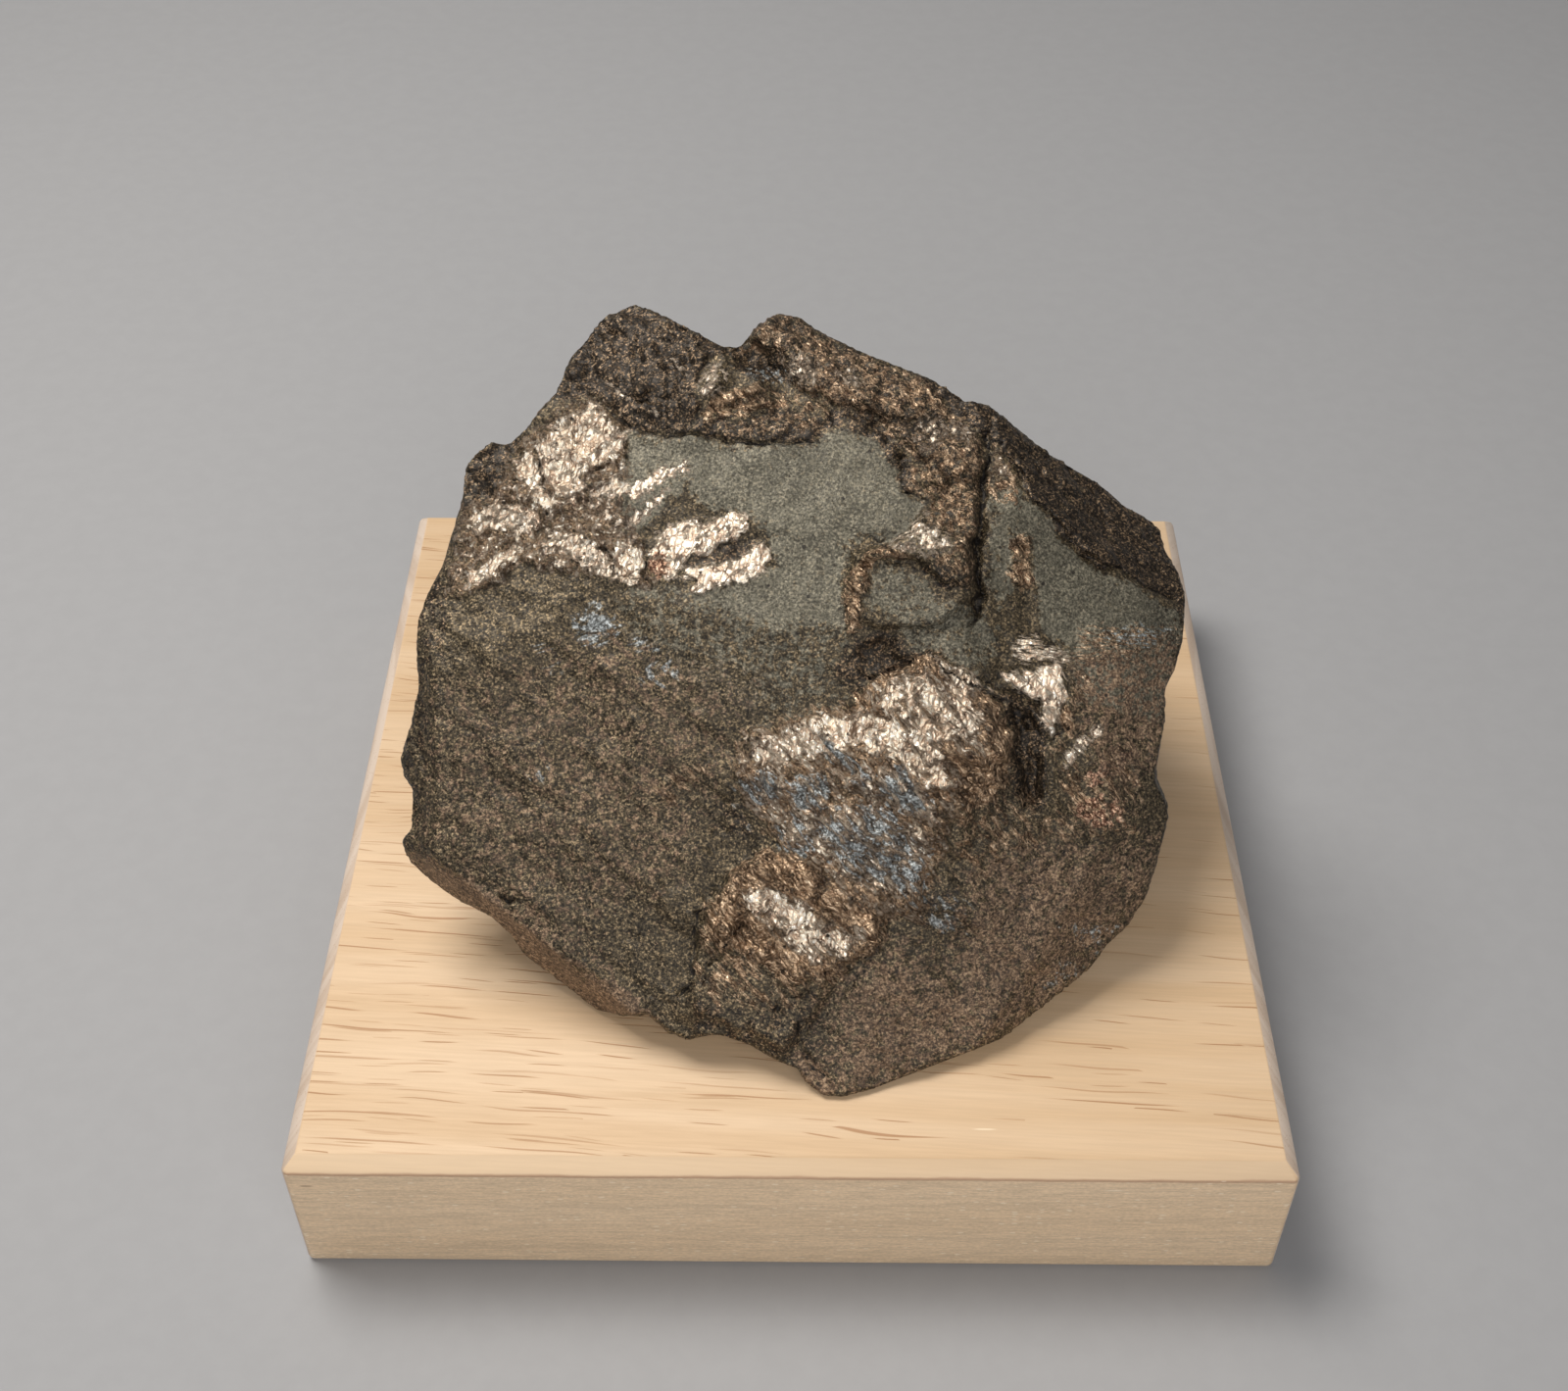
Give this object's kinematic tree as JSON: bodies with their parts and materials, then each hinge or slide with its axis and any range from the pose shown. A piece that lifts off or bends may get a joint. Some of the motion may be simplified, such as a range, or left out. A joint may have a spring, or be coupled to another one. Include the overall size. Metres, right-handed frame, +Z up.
{
  "type": "renierite specimen on a wooden display block",
  "caption": "Broken lump of bronze-brown metallic sulphide ore leaning back on a square pale wooden display block with a chamfered top edge",
  "frame": {"origin": "middle of the wooden block's underside, on the surface that it stands on", "axes": "+Z up, -Y towards the viewer of the stone's broken face, +X to the viewer's right, along the wood's grain"},
  "size_m": [0.1, 0.1, 0.0689],
  "materials": {
    "renierite": "satin",
    "pale_wood": "matte"
  },
  "bodies": {
    "root": {"renierite": "renierite", "wooden_block": "pale_wood"}
  },
  "joints": []
}
